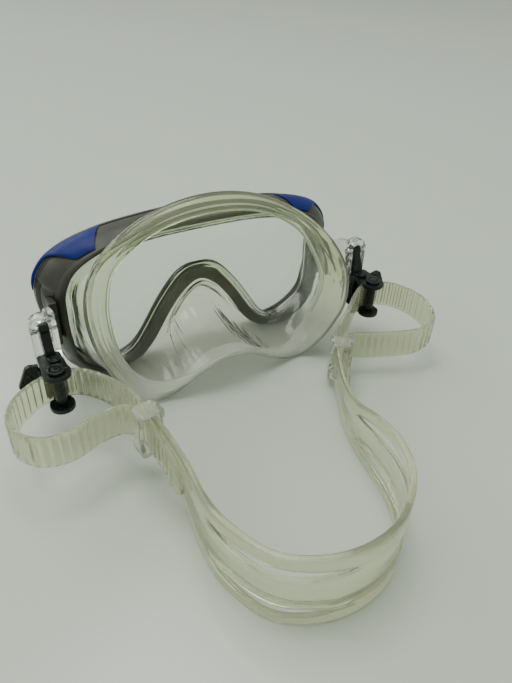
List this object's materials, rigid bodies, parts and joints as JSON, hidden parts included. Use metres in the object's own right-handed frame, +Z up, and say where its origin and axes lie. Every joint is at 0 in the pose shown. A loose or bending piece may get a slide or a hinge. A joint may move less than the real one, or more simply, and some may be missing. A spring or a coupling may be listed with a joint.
{
  "type": "snorkel mask",
  "caption": "Single-lens snorkelling mask: framed lens, silicone skirt with nose pocket, and a split strap in swivelling roller buckles.",
  "frame": {"origin": "under the middle of the bounding box, on the surface that the mask stands on", "axes": "+Z up; the lens faces -Y; +X to the wearer's left"},
  "size_m": [0.2228, 0.1865, 0.0935],
  "materials": {
    "frame_grey": "fine satin moulding, warm dark grey",
    "accent_blue": "satin moulded, deep blue",
    "lens_glass": "clear tempered glass, faint green edge",
    "skirt_silicone": "clear silicone rubber, slightly yellow-green, glossy",
    "clear_plastic": "clear polished polycarbonate",
    "buckle_black": "black moulded, satin",
    "pin_steel": "drawn stainless pin",
    "strap_silicone": "milky translucent silicone rubber, slightly yellow-green"
  },
  "bodies": {
    "mask": {"frame_main": "frame_grey", "frame_bezel": "frame_grey", "lens": "lens_glass", "skirt": "skirt_silicone", "strap": "strap_silicone", "accent_left": "accent_blue", "accent_right": "accent_blue", "mount_left": "clear_plastic", "mount_right": "clear_plastic", "mount_pin_left": "pin_steel", "mount_pin_right": "pin_steel"},
    "buckle_left": {"buckle_body_left": "buckle_black", "roller_pin_left": "buckle_black", "pawl_pin_left": "buckle_black"},
    "roller_left": {"roller_left": "buckle_black"},
    "pawl_left": {"pawl_left": "buckle_black"},
    "keeper_left": {"keeper_left": "clear_plastic"},
    "buckle_right": {"buckle_body_right": "buckle_black", "roller_pin_right": "buckle_black", "pawl_pin_right": "buckle_black"},
    "roller_right": {"roller_right": "buckle_black"},
    "pawl_right": {"pawl_right": "buckle_black"},
    "keeper_right": {"keeper_right": "clear_plastic"}
  },
  "joints": [
    {"name": "swivel_left", "type": "hinge", "parent": "mask", "child": "buckle_left", "pos_m": [0.0853, -0.0574, 0.05], "axis": [1, 0, 0], "range_deg": [0, 60], "deforming": ["strap"]},
    {"name": "roller_spin_left", "type": "hinge", "parent": "buckle_left", "child": "roller_left", "pos_m": [0.086, -0.0399, 0.0286], "axis": [0, 0, 1], "continuous": true},
    {"name": "pawl_release_left", "type": "hinge", "parent": "buckle_left", "child": "pawl_left", "pos_m": [0.0847, -0.0476, 0.0286], "axis": [0, 0, -1], "range_deg": [0, 13], "stiffness_Nm_per_rad": 0.05, "springref_deg": -5.73},
    {"name": "swivel_right", "type": "hinge", "parent": "mask", "child": "buckle_right", "pos_m": [-0.0853, -0.0574, 0.05], "axis": [1, 0, 0], "range_deg": [0, 60], "deforming": ["strap"]},
    {"name": "roller_spin_right", "type": "hinge", "parent": "buckle_right", "child": "roller_right", "pos_m": [-0.086, -0.0399, 0.0286], "axis": [0, 0, 1], "continuous": true},
    {"name": "pawl_release_right", "type": "hinge", "parent": "buckle_right", "child": "pawl_right", "pos_m": [-0.0847, -0.0476, 0.0286], "axis": [0, 0, 1], "range_deg": [0, 13], "stiffness_Nm_per_rad": 0.05, "springref_deg": -5.73},
    {"name": "keeper_slide_left", "type": "slide", "parent": "buckle_left", "child": "keeper_left", "axis": [-0.153, 0.969, -0.194], "range_m": [0, 0.004]},
    {"name": "keeper_slide_right", "type": "slide", "parent": "buckle_right", "child": "keeper_right", "axis": [0.517, 0.8481, -0.116], "range_m": [0, 0.006]}
  ]
}
